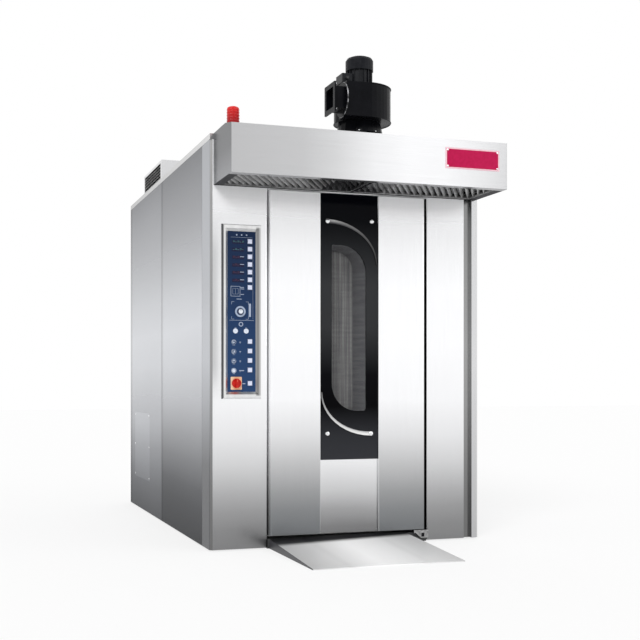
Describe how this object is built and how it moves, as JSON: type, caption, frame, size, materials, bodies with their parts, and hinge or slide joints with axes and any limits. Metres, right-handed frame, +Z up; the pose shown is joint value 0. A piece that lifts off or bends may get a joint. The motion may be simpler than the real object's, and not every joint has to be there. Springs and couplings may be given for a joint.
{
  "type": "rotating rack oven",
  "caption": "Bakery rotating rack oven: insulated stainless cabinet with glazed hinged door, extractor hood and blower, driven turntable, control column and ramp.",
  "frame": {"origin": "on the floor, under the centre of the cabinet's footprint", "axes": "+X to the right seen from the front, +Y to the back of the oven, +Z up; the door faces -Y"},
  "size_m": [1.575, 3.15, 2.6163],
  "materials": {
    "stainless_panel": "satin",
    "stainless_bright": "polished",
    "galvanised_steel": "satin",
    "dark_steel": "matte",
    "mineral_wool": "matte",
    "black_paint": "satin",
    "black_glass": "gloss",
    "clear_glass": "gloss",
    "silicone": "matte",
    "red_lens": "gloss",
    "black_plastic": "matte",
    "blue_panel": "satin",
    "white_key": "satin",
    "red_plastic": "gloss"
  },
  "bodies": {
    "cabinet": {"base_frame": "dark_steel", "drive_chain": "dark_steel", "turntable_drive": "galvanised_steel", "chamber_liner": "stainless_bright", "insulation_jacket": "mineral_wool", "air_duct_left": "stainless_panel", "air_duct_right": "stainless_panel", "heater_bank": "dark_steel", "circulation_motor": "galvanised_steel", "side_panel_left_front": "stainless_panel", "side_panel_left_rear": "stainless_panel", "side_panel_right_front": "stainless_panel", "side_panel_right_rear": "stainless_panel", "rear_panel": "stainless_panel", "access_cover": "stainless_panel", "corner_post_left": "stainless_bright", "corner_post_right": "stainless_bright", "control_column": "stainless_panel", "hinge_column": "stainless_panel", "front_header": "stainless_panel", "lower_hinge_block": "stainless_bright", "roof_panel": "stainless_panel", "roof_motor_box": "stainless_panel", "hood_shell": "stainless_panel", "hood_filter_left": "stainless_bright", "hood_filter_right": "stainless_bright", "beacon_base": "black_plastic", "beacon_lens": "red_lens", "blower_housing": "black_paint", "blower_motor": "black_paint", "blower_cowl": "black_paint", "control_bezel": "stainless_bright", "control_face": "blue_panel", "ramp": "stainless_bright"},
    "door": {"door_panel": "stainless_panel", "door_cover_left": "stainless_panel", "door_cover_right": "stainless_panel", "door_glass": "black_glass", "door_inner_glass": "clear_glass", "door_gasket": "silicone", "glass_trim_upper": "stainless_bright", "glass_trim_lower": "stainless_bright"},
    "turntable": {"turntable": "galvanised_steel"},
    "drive_sprocket": {"drive_sprocket": "dark_steel"},
    "circulation_impeller": {"circulation_impeller": "stainless_panel"},
    "blower_impeller": {"blower_impeller": "galvanised_steel"},
    "timer_dial": {"timer_dial": "white_key"},
    "main_switch": {"main_switch": "red_plastic"},
    "key_01": {"key_01": "white_key"},
    "key_02": {"key_02": "white_key"},
    "key_03": {"key_03": "white_key"},
    "key_04": {"key_04": "white_key"},
    "key_05": {"key_05": "white_key"},
    "key_06": {"key_06": "white_key"},
    "key_07": {"key_07": "white_key"},
    "key_08": {"key_08": "white_key"},
    "key_09": {"key_09": "white_key"},
    "key_10": {"key_10": "white_key"},
    "key_11": {"key_11": "white_key"},
    "key_12": {"key_12": "white_key"}
  },
  "joints": [
    {"name": "door_hinge", "type": "hinge", "parent": "cabinet", "child": "door", "pos_m": [0.435, -1.213, 0.069], "axis": [0, 0, 1], "range_deg": [0, 105]},
    {"name": "turntable_spin", "type": "hinge", "parent": "cabinet", "child": "turntable", "pos_m": [0, -0.5547, 0.069], "axis": [0, 0, 1], "continuous": true},
    {"name": "drive_sprocket_spin", "type": "hinge", "parent": "cabinet", "child": "drive_sprocket", "pos_m": [0, 0.805, 0.026], "axis": [0, 0, 1], "continuous": true},
    {"name": "circulation_fan_spin", "type": "hinge", "parent": "cabinet", "child": "circulation_impeller", "pos_m": [-0.351, 0.36, 1.76], "axis": [0, 0, 1], "continuous": true},
    {"name": "blower_spin", "type": "hinge", "parent": "cabinet", "child": "blower_impeller", "pos_m": [-0.015, -1.405, 2.33], "axis": [0, 0, 1], "continuous": true},
    {"name": "timer_dial_turn", "type": "hinge", "parent": "cabinet", "child": "timer_dial", "pos_m": [-0.6245, -1.233, 1.265], "axis": [0, 1, 0], "range_deg": [0, 270]},
    {"name": "main_switch_turn", "type": "hinge", "parent": "cabinet", "child": "main_switch", "pos_m": [-0.6465, -1.233, 0.885], "axis": [0, 1, 0], "range_deg": [0, 90]},
    {"name": "key_01_press", "type": "slide", "parent": "cabinet", "child": "key_01", "axis": [0, 1, 0], "range_m": [0, 0.002], "stiffness_N_per_m": 600, "springref_m": -0.001},
    {"name": "key_02_press", "type": "slide", "parent": "cabinet", "child": "key_02", "axis": [0, 1, 0], "range_m": [0, 0.002], "stiffness_N_per_m": 600, "springref_m": -0.001},
    {"name": "key_03_press", "type": "slide", "parent": "cabinet", "child": "key_03", "axis": [0, 1, 0], "range_m": [0, 0.002], "stiffness_N_per_m": 600, "springref_m": -0.001},
    {"name": "key_04_press", "type": "slide", "parent": "cabinet", "child": "key_04", "axis": [0, 1, 0], "range_m": [0, 0.002], "stiffness_N_per_m": 600, "springref_m": -0.001},
    {"name": "key_05_press", "type": "slide", "parent": "cabinet", "child": "key_05", "axis": [0, 1, 0], "range_m": [0, 0.002], "stiffness_N_per_m": 600, "springref_m": -0.001},
    {"name": "key_06_press", "type": "slide", "parent": "cabinet", "child": "key_06", "axis": [0, 1, 0], "range_m": [0, 0.002], "stiffness_N_per_m": 600, "springref_m": -0.001},
    {"name": "key_07_press", "type": "slide", "parent": "cabinet", "child": "key_07", "axis": [0, 1, 0], "range_m": [0, 0.002], "stiffness_N_per_m": 600, "springref_m": -0.001},
    {"name": "key_08_press", "type": "slide", "parent": "cabinet", "child": "key_08", "axis": [0, 1, 0], "range_m": [0, 0.002], "stiffness_N_per_m": 600, "springref_m": -0.001},
    {"name": "key_09_press", "type": "slide", "parent": "cabinet", "child": "key_09", "axis": [0, 1, 0], "range_m": [0, 0.002], "stiffness_N_per_m": 600, "springref_m": -0.001},
    {"name": "key_10_press", "type": "slide", "parent": "cabinet", "child": "key_10", "axis": [0, 1, 0], "range_m": [0, 0.002], "stiffness_N_per_m": 600, "springref_m": -0.001},
    {"name": "key_11_press", "type": "slide", "parent": "cabinet", "child": "key_11", "axis": [0, 1, 0], "range_m": [0, 0.002], "stiffness_N_per_m": 600, "springref_m": -0.001},
    {"name": "key_12_press", "type": "slide", "parent": "cabinet", "child": "key_12", "axis": [0, 1, 0], "range_m": [0, 0.002], "stiffness_N_per_m": 600, "springref_m": -0.001}
  ],
  "couplings": [
    {"joint": "drive_sprocket_spin", "follows": "turntable_spin", "ratio": 2.4}
  ]
}
